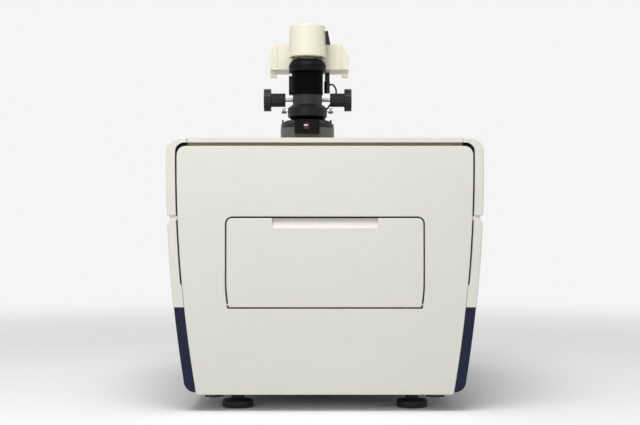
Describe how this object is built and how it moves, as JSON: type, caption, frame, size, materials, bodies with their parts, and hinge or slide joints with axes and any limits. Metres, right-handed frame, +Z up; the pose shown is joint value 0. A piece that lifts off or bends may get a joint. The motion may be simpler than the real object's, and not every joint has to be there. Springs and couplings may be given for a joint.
{
  "type": "imaging system",
  "caption": "Bench imaging cabinet with bowed cream covers, a drop-down front door, a top lid, an inner sample stage and a transmitted-light stand on its roof.",
  "frame": {"origin": "on the bench, under the middle of the cabinet's width and depth", "axes": "+Z up, front towards -Y, +X to the right seen from the front"},
  "size_m": [0.611, 0.79, 0.802],
  "materials": {
    "cream_paint": "satin powder coat",
    "cream_plastic": "fine satin moulding",
    "navy_plastic": "satin moulding",
    "black_anodised": "black anodised, fine satin",
    "black_paint": "satin black paint",
    "black_plastic": "fine grained",
    "grey_paint": "satin grey paint",
    "aluminium": "machined and bead blasted",
    "steel": "ground",
    "chrome": "polished",
    "sheet_steel": "zinc plated sheet",
    "rubber": "moulded",
    "glass": "coated optical glass",
    "lead_sheath": "flexible sheath"
  },
  "bodies": {
    "enclosure": {"upper_side_cover_right": "cream_plastic", "upper_side_cover_left": "cream_plastic", "lower_side_cover_right": "cream_plastic", "lower_side_cover_left": "cream_plastic", "front_panel": "cream_plastic", "rear_roof": "cream_plastic", "side_skirt_right": "navy_plastic", "side_skirt_left": "navy_plastic", "rear_panel": "sheet_steel", "chassis_walls": "sheet_steel", "top_deck": "sheet_steel", "base_plate": "aluminium", "stage_supports": "aluminium", "focus_column": "aluminium", "lid_hinges": "steel", "y_rails": "steel", "arm_head": "cream_paint", "lamp_housing": "cream_paint", "front_lift_brackets": "black_paint", "pillar": "black_paint", "index_block": "black_paint", "tower_clamp_ring": "black_paint", "fold_mirror": "black_paint", "light_engine": "black_paint", "electronics_box": "black_paint", "filter_wheel_motor": "black_anodised", "tube_lens": "black_anodised", "camera": "black_anodised", "collector_ring": "black_anodised", "light_tube": "black_anodised", "fan_housing": "black_plastic", "power_inlet": "black_plastic", "lead_fittings": "black_plastic", "tower_base": "grey_paint", "lamp_lead": "lead_sheath"},
    "front_door": {"front_door": "cream_plastic", "door_pivot_pins": "steel"},
    "top_lid": {"top_lid": "cream_plastic"},
    "y_stage": {"y_carriage": "aluminium", "x_guide_rods": "steel"},
    "x_stage": {"plate_holder": "aluminium"},
    "focus": {"focus_carriage": "aluminium"},
    "turret": {"objective_turret": "black_anodised", "objectives": "black_anodised"},
    "filter_wheel": {"filter_wheel": "black_anodised"},
    "fan": {"fan_rotor": "black_plastic"},
    "power_rocker": {"power_rocker": "black_plastic"},
    "condenser": {"condenser_ring": "black_anodised", "condenser_lens": "glass", "condenser_tube": "black_anodised", "condenser_slide": "black_anodised"},
    "focus_knobs": {"focus_shaft": "steel", "focus_knobs": "black_anodised"},
    "thumb_screw_left": {"thumb_screw_left": "chrome"},
    "thumb_screw_right": {"thumb_screw_right": "chrome"},
    "lamp_lever": {"lamp_lever": "black_paint"},
    "foot_front_left": {"foot_front_left": "rubber"},
    "foot_front_right": {"foot_front_right": "rubber"},
    "foot_rear_left": {"foot_rear_left": "rubber"},
    "foot_rear_right": {"foot_rear_right": "rubber"}
  },
  "joints": [
    {"name": "door_hinge", "type": "hinge", "parent": "enclosure", "child": "front_door", "pos_m": [0, -0.38923, 0.2054], "axis": [1, 0, 0], "range_deg": [0, 85]},
    {"name": "lid_hinge", "type": "hinge", "parent": "enclosure", "child": "top_lid", "pos_m": [0, -0.116, 0.518], "axis": [-1, 0, 0], "range_deg": [0, 80]},
    {"name": "stage_y", "type": "slide", "parent": "enclosure", "child": "y_stage", "axis": [0, 1, 0], "range_m": [-0.19, 0.05]},
    {"name": "stage_x", "type": "slide", "parent": "y_stage", "child": "x_stage", "axis": [1, 0, 0], "range_m": [-0.055, 0.055]},
    {"name": "focus_z", "type": "slide", "parent": "enclosure", "child": "focus", "axis": [0, 0, 1], "range_m": [-0.015, 0.003]},
    {"name": "turret_turn", "type": "hinge", "parent": "focus", "child": "turret", "pos_m": [-0.0375, -0.054, 0.214], "axis": [0, 0, 1], "continuous": true},
    {"name": "filter_wheel_turn", "type": "hinge", "parent": "enclosure", "child": "filter_wheel", "pos_m": [-0.0715, -0.02, 0.122], "axis": [0, 0, 1], "continuous": true},
    {"name": "fan_spin", "type": "hinge", "parent": "enclosure", "child": "fan", "pos_m": [0.12, 0.368, 0.15], "axis": [0, 1, 0], "continuous": true},
    {"name": "power_rocker_tilt", "type": "hinge", "parent": "enclosure", "child": "power_rocker", "pos_m": [-0.103, 0.375, 0.09], "axis": [1, 0, 0], "range_deg": [-14, 0]},
    {"name": "condenser_focus", "type": "slide", "parent": "enclosure", "child": "condenser", "axis": [0, 0, 1], "range_m": [0, 0.02]},
    {"name": "focus_knob_turn", "type": "hinge", "parent": "enclosure", "child": "focus_knobs", "pos_m": [-0.0375, 0.054, 0.645], "axis": [-1, 0, 0], "range_deg": [0, 144]},
    {"name": "thumb_screw_left_turn", "type": "hinge", "parent": "condenser", "child": "thumb_screw_left", "pos_m": [-0.085, -0.02, 0.613], "axis": [-1, 0, 0], "range_deg": [0, 180]},
    {"name": "thumb_screw_right_turn", "type": "hinge", "parent": "condenser", "child": "thumb_screw_right", "pos_m": [0.01, -0.02, 0.613], "axis": [1, 0, 0], "range_deg": [0, 180]},
    {"name": "lamp_lever_swing", "type": "hinge", "parent": "enclosure", "child": "lamp_lever", "pos_m": [0.005, -0.02, 0.792], "axis": [0, -1, 0], "range_deg": [0, 40]},
    {"name": "foot_front_left_turn", "type": "hinge", "parent": "enclosure", "child": "foot_front_left", "pos_m": [-0.172, -0.312, 0.008], "axis": [0, 0, 1], "continuous": true},
    {"name": "foot_front_right_turn", "type": "hinge", "parent": "enclosure", "child": "foot_front_right", "pos_m": [0.172, -0.312, 0.008], "axis": [0, 0, 1], "continuous": true},
    {"name": "foot_rear_left_turn", "type": "hinge", "parent": "enclosure", "child": "foot_rear_left", "pos_m": [-0.172, 0.312, 0.008], "axis": [0, 0, 1], "continuous": true},
    {"name": "foot_rear_right_turn", "type": "hinge", "parent": "enclosure", "child": "foot_rear_right", "pos_m": [0.172, 0.312, 0.008], "axis": [0, 0, 1], "continuous": true}
  ],
  "couplings": [
    {"joint": "focus_knob_turn", "follows": "condenser_focus", "rad_per_m": 125}
  ]
}
